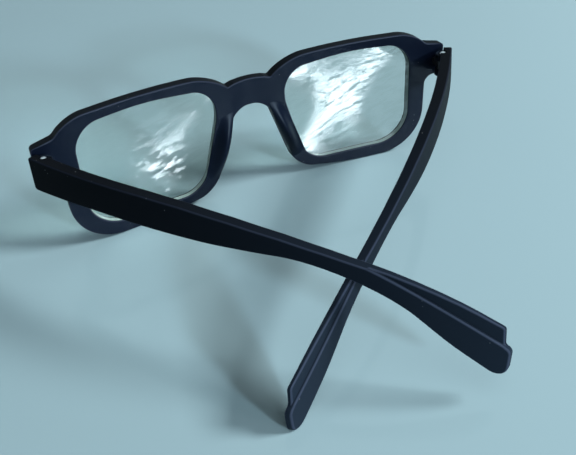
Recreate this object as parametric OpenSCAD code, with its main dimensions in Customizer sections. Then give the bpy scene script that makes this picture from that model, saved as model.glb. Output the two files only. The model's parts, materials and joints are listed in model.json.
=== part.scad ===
// Light-filter spectacles, resting half folded with the left temple laid over the right one.
// Front frame of reference: X to the wearer's left, Y towards the back, Z up along the front's own plane.
// Its origin is on the back face of the bridge, level with the two notches beside the bridge crown.

/* [Front] */
// Width of each lens opening
lens_w = 47.2; // [42:0.2:54]
// Height of each lens opening
lens_h = 38.4; // [32:0.2:44]
// Distance between the two lens openings
bridge_w = 25.2; // [23:0.2:30]
// Height of the lens top above the bridge notches
lens_rise = 3.3; // [2.5:0.1:4.5]
// Width of the rim above the lens
rim_top = 3.2; // [2.6:0.1:5]
// Width of the rim below the lens
rim_bottom = 4.4; // [3.5:0.1:7]
// Width of the rim at the outer side of the lens
rim_side = 5.9; // [4.5:0.1:8]
// Thickness of the front from face to back
front_t = 4.2; // [3.9:0.1:5.5]
// Radius that the front wraps round the face
wrap_r = 420; // [300:10:700]
// Height of the bridge between its notches and the nose arch
bridge_h = 6.8; // [5:0.1:9]
// Rise of the bridge crown over its notches
bridge_crown = 1.6; // [0.8:0.1:2.4]
// Depth of the hollow across the back of the bridge
scoop_d = 1.0; // [0.4:0.1:1.6]

/* [Lenses] */
// Thickness of each lens
lens_t = 2.0; // [1.4:0.1:2.2]
// Depth of the groove that holds the lens edge
groove_d = 0.6; // [0.4:0.1:1]
// Gap between lens edge and groove
lens_gap = 0.05; // [0.02:0.01:0.1]

/* [Nose pads] */
// Length of each nose pad down the side of the nose
pad_h = 18; // [15:0.5:20]
// Reach of each nose pad behind the rim
pad_reach = 4.4; // [3.4:0.1:6]
// Width of each nose pad where it sits on the rim
pad_w = 5; // [4.4:0.1:5.6]

/* [End pieces] */
// Overhang of each end piece beyond the rim
end_len = 6.7; // [6:0.1:9]
// Height of each end piece
end_h = 10.2; // [9.6:0.1:13]

/* [Hinges] */
// Distance from the hinge axis to the temple's outer face
hinge_inset = 2.9; // [2.8:0.1:3.4]
// Distance from the hinge axis forward to the temple's front end
hinge_lead = 3.6; // [3.3:0.1:4.4]
// Radius of the moulded knuckles on the temple
knuckle_r = 2.6; // [2.4:0.1:3]
// Height of each moulded knuckle
knuckle_h = 2.3; // [2:0.1:2.5]
// Radius of the steel lug on the hinge leaf
lug_r = 1.8; // [1.6:0.05:2]
// Height of the steel lug
lug_h = 2.5; // [2:0.1:2.8]
// Radius of the hinge screw's shank
screw_r = 0.7; // [0.6:0.05:0.8]
// Radius of the hinge screw's head
head_r = 1.15; // [1.05:0.05:1.3]
// Height of the hinge screw's head
head_h = 0.7; // [0.5:0.05:0.9]
// Thickness of each hinge washer
washer_t = 0.3; // [0.2:0.05:0.4]
// Radial clearance of the screw in the lug
running_gap = 0.05; // [0.03:0.01:0.08]

/* [Temples] */
// Length of each temple along its straight run, from the hinge axis to the tip
temple_len = 131.6; // [124:0.2:145]
// Straight run from the hinge axis to the knee where the temple starts to taper
knee_run = 57.2; // [52:0.2:64]
// Length of the paddle from the bend to the tip
paddle_len = 19.6; // [17:0.2:23]
// Height of each temple behind the hinge
temple_h = 10.2; // [9.2:0.1:11.4]
// Height of each temple at its neck
neck_h = 4.1; // [3.6:0.1:5.4]
// Height of the paddle at its end
tip_h = 16.2; // [14:0.1:18]
// Drop of the tip's lower end below the top of the hinge
tip_drop = 46.6; // [42:0.2:50]
// Thickness of each temple at the hinge
temple_t = 3.8; // [3.6:0.1:4.4]
// Thickness of each temple at its tip
tip_t = 2.3; // [2:0.1:3]
// Radius of the temple's inward bow on its outer face
bow_r = 260; // [230:5:320]
// Depth of the step along the upper edge of the paddle
step_d = 0.8; // [0.5:0.1:1]
// Radius of the steel core wire
core_r = 0.7; // [0.5:0.05:0.8]

/* [Pose] */
// Fold of the left temple from straight back
fold_left = 29.4; // [26:0.1:34]
// Fold of the right temple from straight back
fold_right = 36.9; // [33:0.1:41]
// Upward set of the left temple and downward set of the right one
temple_cock = 1.75; // [1.5:0.05:2.5]
// Inward lean of the top edge of both temples
temple_lean = 3; // [0:0.5:5]

/* [Hidden] */
$fn = 64;
eps = 0.01;

// Degrees of turn for each flat of a rounded outline corner
arc_step = 5;
// Flats round the large arcs of the wrap and the bow
arc_fn = 360;
// Reach of every cutting block, well past the object
far = 2 * temple_len;
// Clearance of pieces that are pressed or bonded together
fit_gap = 0.03;

// Levels and sides of the front, in its own frame
lens_in = bridge_w / 2;
lens_out = lens_in + lens_w;
lens_mid = lens_in + lens_w / 2;
lens_low = lens_rise - lens_h;
brow_z = lens_rise + rim_top;
rim_low = lens_low - rim_bottom;
rim_out = lens_out + rim_side;
end_out = rim_out + end_len;
end_top = -0.5;
end_low = end_top - end_h;
nose_top = -bridge_h;
nose_slant = 0.34;
nose_foot = 3.3;
nose_lift = 3.0;

// Bridge crown, its notches and the brow above each lens
notch_in = 5.0;
notch_x = lens_in - notch_in;
notch_r = 0.8;
crown_run = 3.0;
crown_full = 0.85;
crown_r = 6;
crown_top_r = 30;
scoop_r = 30;
brow_in = 4.6;
brow_bow = 0.2;
brow_r = 9;
brow_bias = 2;
brow_bow_r = 150;

// Outer brow corner, end piece, cheek and foot of the rim
ear_in = 0.8;
ear_fall = 1.4;
ear_r = 8;
root_in = 0.6;
root_up = 0.5;
root_r = 6;
end_r = 1.2;
pit_drop = 0.4;
pit_r = 3.5;
cheek_in = 0.2;
cheek_r = 14;
belly = 0.4;
belly_r = 90;
foot_r = 11;
arch_r = 5;

// Corners of the lens opening
lens_bow = 0.4;
lens_bow_r = 80;
lens_in_fall = 1.9;
lens_in_r = 5;
lens_out_fall = 1.3;
lens_out_in = 0.5;
lens_out_r = 7;
lens_foot_in = 7.4;
lens_foot_up = 0.4;
lens_low_r = 8;
lens_waist = 12.3;
lens_waist_r = 20;

// Hinge seat on the end piece, and the hinge axis behind it
seat_cut = 0.78;
seat_gap = 0.5;
seat_clear = 0.6;
hinge_x = end_out - hinge_inset;
seat_y = wrap_back(end_out) - seat_cut;
hinge_y = seat_y + seat_gap + hinge_lead;

// Stack of knuckles, washers and lug along the hinge axis
stack_drop = 1.2;
stack_gap = 0.05;
stack_top = end_top - stack_drop;
slot_top = stack_top - knuckle_h;
lug_top = slot_top - washer_t - 2 * stack_gap;
lug_low = lug_top - lug_h;
lug_mid = (lug_top + lug_low) / 2;
slot_low = lug_low - washer_t - 2 * stack_gap;
stack_low = slot_low - knuckle_h;
skin_t = 1.3;
slot_reach = 2.2;
pocket_gap = 0.25;
drive_w = 0.35;
drive_d = 0.3;

// Leaf buried in the end piece, with the two rivets that hold it
leaf_cover = 1.5;
leaf_t = 1.2;
leaf_margin = 1.6;
leaf_w = 5.0;
leaf_neck = 2.4;
leaf_y = seat_y - leaf_cover - leaf_t;
leaf_h = lug_h + 2 * leaf_margin;
leaf_x = hinge_x + leaf_neck / 2 - leaf_w;
rivet_r = 0.45;
rivet_proud = 0.5;
rivet_inset = 1.3;
rivet_edge = 1.0;
rivet_pitch = leaf_h - 2 * rivet_edge;

// Nose pad on the nose side of the rim
pad_turn = atan(nose_slant);
pad_drop = 4;
pad_set = 2.3;
pad_sink = 0.8;
pad_crest_r = 1.2;
pad_crest_in = 0.5;
pad_crest_h = 11.2;
pad_z = nose_top - pad_drop - pad_h / 2;

// Temple stations along its straight run
run_front = -hinge_lead;
knee_lag = 6.8;
run_top_knee = knee_run + knee_lag;
waist_run = 22;
run_bend = temple_len - paddle_len;
neck_lead = 15.6;
run_neck = run_bend - neck_lead;
step_back = 2.4;
run_step = temple_len - step_back;

// Temple heights in its own frame
cap_t = 0.3;
top_h = stack_top + cap_t;
low_h = top_h - temple_h;
knee_fall = 2.0;
knee_drop = 1.6;
bend_drop = 16.5;
bend_h = top_h - bend_drop;
bend_slope = (bend_drop - knee_fall) / (run_bend - run_top_knee);
tip_low = top_h - tip_drop;
tip_top = tip_low + tip_h;
neck_fill = 3.4;
neck_low = top_h - knee_fall - (run_neck - run_top_knee) * bend_slope - neck_h + neck_fill;

// Corners of the temple's outline
edge_r = 0.5;
knee_top_r = 200;
knee_low_r = 20;
waist_r = 150;
bend_r = 85;
neck_r = 48;
strip_h = 4.4;
strip_r = 1.2;
strip_slant = 0.7;
lobe_drop = 1.4;
lobe_out = 0.4;
lobe_r = 2;
lobe_h = 5;
lobe_back = 0.9;
tip_r = 8;
toe_r = 2.2;

// Step along the upper edge of the paddle
apex_lead = 16;
apex_up = 4.9;
apex_r = 1;
step_over = 2.2;
step_out = 4;
step_over_r = 40;
step_drop = 3.0;
step_drop_r = 60;
step_tip_r = 4;

// Bow of the temple's two faces and of the core wire midway between them
thinning = temple_len * temple_len / 2;
inner_r = thinning / (thinning / bow_r - temple_t + tip_t);
core_bow = 2 * bow_r * inner_r / (bow_r + inner_r);
core_start = 8;
core_end = 75;
core_h = (top_h + low_h) / 2;
core_end_h = (top_h - knee_fall - (core_end - run_top_knee) * bend_slope + low_h - knee_drop) / 2;
core_tilt = atan((core_h - core_end_h) / core_end);

// Stand on the table: the rim's feet and the toe of the right temple touch it
foot_trim = 0.55;
toe_lift = 2.05;
foot_y = wrap_back(lens_mid) - front_t;
foot_z = rim_low - belly;
toe_run = temple_len - lobe_back;
toe_x = hinge_inset - bow_r + sqrt(bow_r * bow_r - toe_run * toe_run);
toe = hinge_point([toe_x, toe_run, tip_low + toe_lift], -temple_cock, fold_right);
toe_rise = foot_z - toe[2];
toe_far = toe[1] - foot_y;
front_lean = atan2(toe_rise, toe_far) + asin(foot_trim / norm([toe_rise, toe_far]));
stand_x = 0.26;
stand_y = -55.03;
stand_z = -foot_z * cos(front_lean) - foot_y * sin(front_lean) - foot_trim;

// Depth of the wrapped back face at distance x from the middle
function wrap_back(x) = wrap_r - sqrt(wrap_r * wrap_r - x * x);

function turn_x(p, a) = [p[0], p[1] * cos(a) - p[2] * sin(a), p[1] * sin(a) + p[2] * cos(a)];
function turn_y(p, a) = [p[0] * cos(a) + p[2] * sin(a), p[1], p[2] * cos(a) - p[0] * sin(a)];
function turn_z(p, a) = [p[0] * cos(a) - p[1] * sin(a), p[0] * sin(a) + p[1] * cos(a), p[2]];

// Place in the front's frame of a point of the temple's own frame, for the left side
function hinge_point(p, cock, fold) =
    [hinge_x, hinge_y, 0] + turn_z(turn_x(turn_y(p, -temple_lean), cock), fold);

function unit(v) = v / norm(v);

// Arc of radius r that rounds the corner at p between a and b
function corner(a, p, b, r) =
    let(
        u = unit(a - p),
        v = unit(b - p),
        half = acos(u * v) / 2,
        c = p + unit(u + v) * r / sin(half),
        s = p + u * r / tan(half) - c,
        e = p + v * r / tan(half) - c,
        a0 = atan2(s[1], s[0]),
        turn = (atan2(e[1], e[0]) - a0 + 540) % 360 - 180,
        n = max(1, ceil(abs(turn) / arc_step))
    )
    [for (i = [0:n]) c + r * [cos(a0 + turn * i / n), sin(a0 + turn * i / n)]];

// Closed outline from corner points [x, y, radius]
function outline(pts) =
    let(n = len(pts))
    [for (i = [0:n - 1])
        let(p = pts[i], a = pts[(i + n - 1) % n], b = pts[(i + 1) % n])
        each corner([a[0], a[1]], [p[0], p[1]], [b[0], b[1]], p[2])];

// Corner points of a clockwise outline moved outwards by d
function grow(pts, d) =
    let(n = len(pts))
    [for (i = [0:n - 1])
        let(
            p = [pts[i][0], pts[i][1]],
            a = unit(p - [pts[(i + n - 1) % n][0], pts[(i + n - 1) % n][1]]),
            b = unit([pts[(i + 1) % n][0], pts[(i + 1) % n][1]] - p),
            na = [-a[1], a[0]],
            nb = [-b[1], b[0]],
            m = (na + nb) / (1 + na * nb)
        )
        [p[0] + d * m[0], p[1] + d * m[1], pts[i][2] + d]];

// Left half of the front's outline, from the bridge crown round to the nose arch
front_half = [
    [notch_x - crown_run, bridge_crown * crown_full, crown_r],
    [notch_x, 0, notch_r],
    [lens_in + brow_in, brow_z - brow_bow, brow_r],
    [lens_mid - brow_bias, brow_z + brow_bow, brow_bow_r],
    [lens_out - ear_in, brow_z - ear_fall, ear_r],
    [rim_out - root_in, end_top + root_up, root_r],
    [end_out, end_top, end_r],
    [end_out, end_low, end_r],
    [rim_out, end_low - pit_drop, pit_r],
    [rim_out - cheek_in, rim_low, cheek_r],
    [lens_mid, rim_low - belly, belly_r],
    [nose_foot - (rim_low + nose_lift) * nose_slant, rim_low + nose_lift, foot_r],
    [nose_foot - nose_top * nose_slant, nose_top, arch_r]
];
front_pts = concat(
    [[0, bridge_crown, crown_top_r]],
    front_half,
    [for (i = [len(front_half) - 1:-1:0]) [-front_half[i][0], front_half[i][1], front_half[i][2]]]
);

// Outline of the left lens opening, clockwise
lens_pts = [
    [lens_in, lens_rise - lens_in_fall, lens_in_r],
    [lens_mid, lens_rise + lens_bow, lens_bow_r],
    [lens_out - lens_out_in, lens_rise - lens_out_fall, lens_out_r],
    [lens_out, lens_low, lens_low_r],
    [lens_in + lens_foot_in, lens_low + lens_foot_up, lens_low_r],
    [lens_in, lens_rise - lens_waist, lens_waist_r]
];

// Outline of the temple seen from its outer side, clockwise
temple_pts = [
    [run_front, top_h, edge_r],
    [run_top_knee, top_h - knee_fall, knee_top_r],
    [run_bend, bend_h, bend_r],
    [run_step, tip_top, strip_r],
    [run_step + strip_slant, tip_top - strip_h, strip_r],
    [temple_len + lobe_out, tip_top - strip_h - lobe_drop, lobe_r],
    [temple_len, tip_low + lobe_h, tip_r],
    [temple_len - lobe_back, tip_low, toe_r],
    [run_neck, neck_low, neck_r],
    [knee_run, low_h - knee_drop, knee_low_r],
    [waist_run, low_h, waist_r],
    [run_front, low_h, edge_r]
];

// Upper strip of the paddle, which is stepped back on the outer face
step_pts = [
    [run_bend - apex_lead, bend_h + apex_up, apex_r],
    [run_bend + step_over, bend_h + step_over, step_over_r],
    [temple_len + step_out, tip_top + step_over, apex_r],
    [temple_len + step_out, tip_top - 2 * strip_h, apex_r],
    [run_step + strip_slant, tip_top - strip_h, step_tip_r],
    [run_bend, bend_h - step_drop, step_drop_r]
];

// Outline pushed through the front from far before it to far behind it
module through_front(pts) {
    rotate([90, 0, 0])
        linear_extrude(far, center = true)
            polygon(outline(pts));
}

// Wall of the front's wrap, between two depths in front of its back face
module wrap_wall(near, deep) {
    translate([0, wrap_r, -far / 2])
        difference() {
            cylinder(h = far, r = wrap_r + deep, $fn = arc_fn);
            translate([0, 0, -eps])
                cylinder(h = far + 2 * eps, r = wrap_r + near, $fn = arc_fn);
        }
}

// Front frame of reference set down on the table
module stand() {
    translate([stand_x, stand_y, stand_z])
        rotate([front_lean, 0, 0])
            children();
}

// Right-hand pieces are mirrored from the left
module on_side(side) {
    if (side < 0)
        mirror([1, 0, 0])
            children();
    else
        children();
}

// Temple frame: X outwards, Y along the temple, Z up, origin on the hinge axis
module on_hinge(side) {
    fold = side > 0 ? fold_left : fold_right;
    stand()
        on_side(side)
            translate([hinge_x, hinge_y, 0])
                rotate([0, 0, fold])
                    children();
}

// Set of the temple body on its hinge: cocked up or down, and leaning in at the top
module temple_set(side) {
    rotate([side * temple_cock, 0, 0])
        rotate([0, -temple_lean, 0])
            children();
}

module lens_opening(side, d) {
    on_side(side)
        through_front(grow(lens_pts, d));
}

module lens_body(side, gap) {
    intersection() {
        lens_opening(side, groove_d + gap);
        wrap_wall((front_t - lens_t) / 2 - gap, (front_t + lens_t) / 2 + gap);
    }
}

// Steel leaf: buried plate and neck, grown by gap for its pocket
module leaf_body(gap) {
    translate([leaf_x - gap, leaf_y - gap, lug_mid - leaf_h / 2 - gap])
        cube([leaf_w + 2 * gap, leaf_t + 2 * gap, leaf_h + 2 * gap]);
    translate([hinge_x - leaf_neck / 2 - gap, leaf_y, lug_low - gap])
        cube([leaf_neck + 2 * gap, hinge_y - leaf_y, lug_h + 2 * gap]);
}

module rivet_body(level, gap) {
    translate([leaf_x + rivet_inset, leaf_y + leaf_t / 2, lug_mid + level * rivet_pitch / 2])
        rotate([90, 0, 0])
            cylinder(h = leaf_t + 2 * rivet_proud + 2 * gap, r = rivet_r + gap, center = true);
}

module front_frame() {
    color([0.12, 0.14, 0.20])
        difference() {
            stand()
                difference() {
                    intersection() {
                        through_front(front_pts);
                        wrap_wall(0, front_t);
                    }
                    translate([0, scoop_r - scoop_d, 0])
                        cylinder(h = far, r = scoop_r, center = true);
                    for (side = [-1, 1]) {
                        lens_opening(side, 0);
                        lens_body(side, lens_gap);
                        on_side(side) {
                            translate([hinge_x - knuckle_r - seat_clear, seat_y, -far / 2])
                                cube(far);
                            leaf_body(fit_gap);
                            rivet_body(1, fit_gap);
                            rivet_body(-1, fit_gap);
                        }
                    }
                }
            translate([-far / 2, -far / 2, -far])
                cube(far);
        }
}

module lens(side) {
    color([0.82, 0.92, 0.88, 0.35])
        stand()
            lens_body(side, 0);
}

// Pad bonded on the nose side of the rim, flaring from a broad base to a short crest
module nose_pad(side) {
    color([0.12, 0.14, 0.20])
        stand()
            on_side(side)
                difference() {
                    translate([nose_foot - pad_z * nose_slant + pad_set, wrap_back(lens_in), pad_z])
                        rotate([0, -pad_turn, 0])
                            hull() {
                                translate([0, -pad_sink, 0])
                                    scale([pad_w / pad_h, pad_w / pad_h, 1])
                                        sphere(pad_h / 2, $fn = 32);
                                translate([pad_crest_in, pad_reach - pad_crest_r, 0])
                                    scale([2 * pad_crest_r / pad_crest_h, 2 * pad_crest_r / pad_crest_h, 1])
                                        sphere(pad_crest_h / 2, $fn = 32);
                            }
                    wrap_wall(-fit_gap, far);
                }
}

module hinge_leaf(side) {
    color("silver")
        stand()
            on_side(side)
                difference() {
                    union() {
                        leaf_body(0);
                        translate([hinge_x, hinge_y, lug_low])
                            cylinder(h = lug_h, r = lug_r);
                    }
                    translate([hinge_x, hinge_y, lug_low - eps])
                        cylinder(h = lug_h + 2 * eps, r = screw_r + running_gap);
                    rivet_body(1, fit_gap);
                    rivet_body(-1, fit_gap);
                }
}

module rivet(side, level) {
    color("silver")
        stand()
            on_side(side)
                rivet_body(level, 0);
}

// Wall between the outer and inner bow of the temple, which thins towards the tip
module bow_wall(outer_cut) {
    difference() {
        translate([hinge_inset - outer_cut - bow_r, 0, -far / 2])
            cylinder(h = far, r = bow_r, $fn = arc_fn);
        translate([hinge_inset - temple_t - inner_r, 0, -far])
            cylinder(h = 2 * far, r = inner_r, $fn = arc_fn);
    }
}

module through_temple(pts) {
    rotate([90, 0, 90])
        linear_extrude(far, center = true)
            polygon(outline(pts));
}

// Core wire along the neutral line of the bow, grown by gap for its channel
module core_body(gap) {
    start = asin(core_start / core_bow);
    reach = asin(core_end / core_bow);
    translate([0, 0, core_h])
        rotate([-core_tilt, 0, 0])
            translate([hinge_inset - temple_t / 2 - core_bow, 0, 0])
                rotate([0, 0, start])
                    rotate_extrude(angle = reach - start, $fn = arc_fn)
                        translate([core_bow, 0])
                            circle(core_r + gap);
}

// Bowed and stepped body of the temple with the channel of its core wire
module temple_body(side) {
    temple_set(side)
        difference() {
            intersection() {
                through_temple(temple_pts);
                bow_wall(0);
            }
            difference() {
                through_temple(step_pts);
                bow_wall(step_d);
            }
            core_body(fit_gap);
        }
}

module temple(side) {
    color([0.07, 0.07, 0.09])
        on_hinge(side)
            difference() {
                union() {
                    difference() {
                        temple_body(side);
                        translate([-far, -far, -far / 2])
                            cube(far);
                    }
                    translate([0, 0, stack_low])
                        cylinder(h = knuckle_h, r = knuckle_r);
                    translate([0, 0, slot_top])
                        cylinder(h = knuckle_h, r = knuckle_r);
                }
                translate([hinge_inset - skin_t - far, slot_reach - far, slot_low])
                    cube([far, far, slot_top - slot_low]);
                translate([0, 0, slot_low])
                    cylinder(h = slot_top - slot_low, r = lug_r + pocket_gap);
                translate([0, 0, stack_low - far / 2])
                    cylinder(h = far, r = screw_r + fit_gap);
                translate([0, 0, stack_top - head_h])
                    cylinder(h = far, r = head_r + fit_gap);
            }
}

module core_wire(side) {
    color("silver")
        on_hinge(side)
            temple_set(side)
                core_body(0);
}

module hinge_screw(side) {
    color("gainsboro")
        on_hinge(side)
            difference() {
                union() {
                    translate([0, 0, stack_low])
                        cylinder(h = stack_top - stack_low - head_h / 2, r = screw_r);
                    translate([0, 0, stack_top - head_h + fit_gap])
                        cylinder(h = head_h - fit_gap, r = head_r);
                }
                translate([-head_r - eps, -drive_w / 2, stack_top - drive_d])
                    cube([2 * (head_r + eps), drive_w, drive_d + eps]);
            }
}

module washer(side, level) {
    base = level > 0 ? lug_top + stack_gap : lug_low - stack_gap - washer_t;
    color("dimgray")
        on_hinge(side)
            translate([0, 0, base])
                difference() {
                    cylinder(h = washer_t, r = lug_r);
                    translate([0, 0, -eps])
                        cylinder(h = washer_t + 2 * eps, r = screw_r + running_gap);
                }
}

module left_lens() { lens(1); }
module right_lens() { lens(-1); }
module left_nose_pad() { nose_pad(1); }
module right_nose_pad() { nose_pad(-1); }
module left_hinge_leaf() { hinge_leaf(1); }
module right_hinge_leaf() { hinge_leaf(-1); }
module left_upper_rivet() { rivet(1, 1); }
module left_lower_rivet() { rivet(1, -1); }
module right_upper_rivet() { rivet(-1, 1); }
module right_lower_rivet() { rivet(-1, -1); }
module left_temple() { temple(1); }
module right_temple() { temple(-1); }
module left_core_wire() { core_wire(1); }
module right_core_wire() { core_wire(-1); }
module left_hinge_screw() { hinge_screw(1); }
module right_hinge_screw() { hinge_screw(-1); }
module left_upper_washer() { washer(1, 1); }
module left_lower_washer() { washer(1, -1); }
module right_upper_washer() { washer(-1, 1); }
module right_lower_washer() { washer(-1, -1); }

front_frame();
left_lens();
right_lens();
left_nose_pad();
right_nose_pad();
left_hinge_leaf();
right_hinge_leaf();
left_upper_rivet();
left_lower_rivet();
right_upper_rivet();
right_lower_rivet();
left_temple();
right_temple();
left_core_wire();
right_core_wire();
left_hinge_screw();
right_hinge_screw();
left_upper_washer();
left_lower_washer();
right_upper_washer();
right_lower_washer();
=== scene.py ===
"""Half folded light-filter spectacles, dressed for their portrait on a pale table."""

import json
import logging
import math
from dataclasses import dataclass
from enum import Enum
from typing import Callable, Sequence

import bmesh
import bpy
from bmesh.types import BMEdge, BMesh, BMFace, BMVert
from mathutils import Euler, Matrix, Vector


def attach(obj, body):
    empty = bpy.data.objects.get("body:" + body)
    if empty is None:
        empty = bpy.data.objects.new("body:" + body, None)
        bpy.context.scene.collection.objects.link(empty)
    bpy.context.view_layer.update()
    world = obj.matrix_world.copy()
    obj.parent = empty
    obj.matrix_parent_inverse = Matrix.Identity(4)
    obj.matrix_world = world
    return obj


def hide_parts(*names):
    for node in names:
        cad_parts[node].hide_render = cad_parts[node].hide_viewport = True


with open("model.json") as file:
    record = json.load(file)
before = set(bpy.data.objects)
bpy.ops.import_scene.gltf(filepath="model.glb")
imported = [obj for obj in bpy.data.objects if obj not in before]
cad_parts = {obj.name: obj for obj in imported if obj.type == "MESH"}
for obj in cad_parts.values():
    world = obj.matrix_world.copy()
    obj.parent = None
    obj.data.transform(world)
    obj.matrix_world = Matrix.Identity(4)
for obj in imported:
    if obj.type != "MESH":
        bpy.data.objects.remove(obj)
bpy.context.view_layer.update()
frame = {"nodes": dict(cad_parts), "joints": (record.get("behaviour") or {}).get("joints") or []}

log = logging.getLogger("spectacles")

# Pieces are in millimetres until they are set down on the table
MM = 0.001
ARC_STEP = math.radians(4)
CORNER_ANGLE = ARC_STEP * 8
CREASE = math.radians(40)
WELD = 1e-4
ROUND_FACETS = 48
EASE_FACETS = 3
FINE_RELIEF = 0.00001
POLISH_AND_PAINTED_HIGHLIGHT = "polish"
PAINTED_LIGHT_SHARE = "handled"

Triple = tuple[float, float, float]
Colour = Triple
# Places along and up a blank, with the radius of the round
Corner = Triple


class Side(Enum):
    """The wearer's side, with the sign of its X."""

    LEFT = 1
    RIGHT = -1

    @property
    def label(self) -> str:
        """Name of the side as the nodes spell it."""
        return self.name.lower()

    @property
    def mirror(self) -> Matrix:
        """Takes a left piece to this side."""
        return Matrix.Scale(self.value, 4, (1, 0, 0))


class Facing(Enum):
    """How a flat blank lies before it is bent: the axes along, up and through it."""

    BEHIND = (0, 2, 1)
    SIDEWAYS = (1, 2, 0)

    def place(self, along: float, up: float, depth: float) -> Vector:
        """Point at places along, up and through the blank, in the blank's own frame."""
        spots = dict(zip(self.value, (along, up, depth)))
        return Vector([spots[axis] for axis in range(3)])

    @property
    def through(self) -> int:
        """Index of the axis through the blank."""
        return self.value[2]


class Rounding(Enum):
    """What is rounded: the edges of a solid or the corners of a flat face."""

    EDGES = "EDGES"
    CORNERS = "VERTICES"


class Shaping(Enum):
    """What a tool does to a body."""

    JOIN = "UNION"
    CUT = "DIFFERENCE"
    KEEP = "INTERSECT"


@dataclass(frozen=True)
class Curve:
    """A cubic curve through two ends with two handles, in a plane."""

    start: tuple[float, float]
    leave: tuple[float, float]
    arrive: tuple[float, float]
    end: tuple[float, float]

    def at(self, share: float) -> Vector:
        """Point at a share of the way along.

        Args:
            share: from 0 at the start to 1 at the end.

        Returns:
            The point in the curve's plane.
        """
        rest = 1 - share
        return (
            rest**3 * Vector(self.start)
            + 3 * rest**2 * share * Vector(self.leave)
            + 3 * rest * share**2 * Vector(self.arrive)
            + share**3 * Vector(self.end)
        )


@dataclass(frozen=True)
class Stand:
    """Where the front's own frame stands on the table."""

    lean: float
    origin: Vector

    @classmethod
    def from_joints(cls, hinge_y: float, lug_mid: float) -> "Stand":
        """Reads the stand from the two hinge joints.

        Args:
            hinge_y: depth of the hinge axes in the front's frame.
            lug_mid: height of the joints on those axes.

        Returns:
            The stand that puts the front's frame where the joints are.
        """
        joints = {joint["name"]: joint for joint in frame["joints"]}
        left, right = (joints[f"{side.label}_temple_hinge"] for side in Side)
        axis = Vector(left["axis"])
        lean = math.atan2(-axis.y, axis.z)
        middle = (Vector(left["pos_m"]) + Vector(right["pos_m"])) / 2
        return cls(lean, middle - Matrix.Rotation(lean, 3, "X") @ Vector((0, hinge_y, lug_mid)) * MM)

    def matrix(self) -> Matrix:
        """Placement of the front's frame on the table."""
        return Matrix.Translation(self.origin) @ Matrix.Rotation(self.lean, 4, "X") @ Matrix.Scale(MM, 4)


def round_off(
    bm: BMesh, what: Rounding, geom: Sequence[BMVert | BMEdge], width: float, facets: int = EASE_FACETS
) -> None:
    """Rounds edges or corners of a mesh.

    Args:
        bm: the mesh.
        what: whether edges or corners are rounded.
        geom: the edges, or the vertices at the corners.
        width: how far the round reaches.
        facets: facets of the round.
    """
    bmesh.ops.bevel(
        bm,
        geom=geom,
        offset=width,
        offset_type="OFFSET",
        affect=what.value,
        segments=facets,
        profile=0.5,
        material=-1,
    )


class Blank:
    """A sheet blank that is cut to outlines with round corners, thickened, eased and bent."""

    def __init__(self, facing: Facing) -> None:
        """Starts an empty blank.

        Args:
            facing: how the blank lies.
        """
        self.facing = facing
        self.bm = bmesh.new()
        self.polish = self.bm.verts.layers.float.new(POLISH_AND_PAINTED_HIGHLIGHT)

    def cut(self, corners: Sequence[Corner], depth: float = 0.0) -> None:
        """Adds a face with round corners.

        Args:
            corners: the corners of its outline.
            depth: level of the face through the blank.
        """
        verts = [self.bm.verts.new(self.facing.place(along, up, depth)) for along, up, _ in corners]
        self.bm.faces.new(verts)
        for index, (vert, (_, _, radius)) in enumerate(zip(verts, corners)):
            before, here, after = (Vector(corners[(index + step) % len(corners)][:2]) for step in (-1, 0, 1))
            if radius > 0:
                half = (before - here).angle(after - here) / 2
                facets = max(EASE_FACETS, math.ceil((math.pi - 2 * half) / ARC_STEP))
                round_off(self.bm, Rounding.CORNERS, [vert], radius / math.tan(half), facets)

    def weld(self) -> None:
        """Joins faces along the lines that they share."""
        bmesh.ops.remove_doubles(self.bm, verts=self.bm.verts[:], dist=WELD)

    def thicken(self, faces: list[BMFace], depth: float) -> list[BMFace]:
        """Draws faces out to another level.

        Args:
            faces: the faces to draw out.
            depth: the level that they reach.

        Returns:
            The faces at the new level.
        """
        edges = list({edge for face in faces for edge in face.edges})
        made = bmesh.ops.extrude_face_region(self.bm, geom=faces + edges)["geom"]
        for vert in (item for item in made if isinstance(item, BMVert)):
            vert.co[self.facing.through] = depth
        return [item for item in made if isinstance(item, BMFace)]

    def ease(self, level: float, width: float, facets: int = EASE_FACETS) -> None:
        """Rounds the outer edges that lie at a level and marks them as polished, for a painted highlight.

        Args:
            level: level through the blank.
            width: width of the round.
            facets: facets of the round.
        """
        bmesh.ops.recalc_face_normals(self.bm, faces=self.bm.faces[:])
        sharp = [edge for edge in self.bm.edges if self._sharp(edge, level)]
        round_off(self.bm, Rounding.EDGES, sharp, width, facets)
        for vert in self.bm.verts:
            if WELD < abs(vert.co[self.facing.through] - level) < width - WELD:
                vert[self.polish] = 1.0

    def _sharp(self, edge: BMEdge, level: float) -> bool:
        """Whether an edge is an outer corner that lies at a level."""
        flat = all(abs(vert.co[self.facing.through] - level) < WELD for vert in edge.verts)
        return flat and edge.is_manifold and edge.is_convex and edge.calc_face_angle() > CORNER_ANGLE

    def slice(self, axis: int, first: float, last: float, step: float) -> None:
        """Cuts the faces into strips, so that they can bend.

        Args:
            axis: axis that the strips follow each other on.
            first: place of the first cut.
            last: limit of the cuts.
            step: distance between cuts.
        """
        normal = Vector((0.0, 0.0, 0.0))
        normal[axis] = 1
        for index in range(math.floor((last - first) / step) + 1):
            bmesh.ops.bisect_plane(
                self.bm,
                geom=self.bm.verts[:] + self.bm.edges[:] + self.bm.faces[:],
                dist=WELD,
                plane_co=normal * (first + index * step),
                plane_no=normal,
            )

    def bend(self, shape: Callable[[Vector], Vector]) -> None:
        """Moves every point of the blank to the place that a shape gives it."""
        for vert in self.bm.verts:
            vert.co = shape(vert.co)


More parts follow.
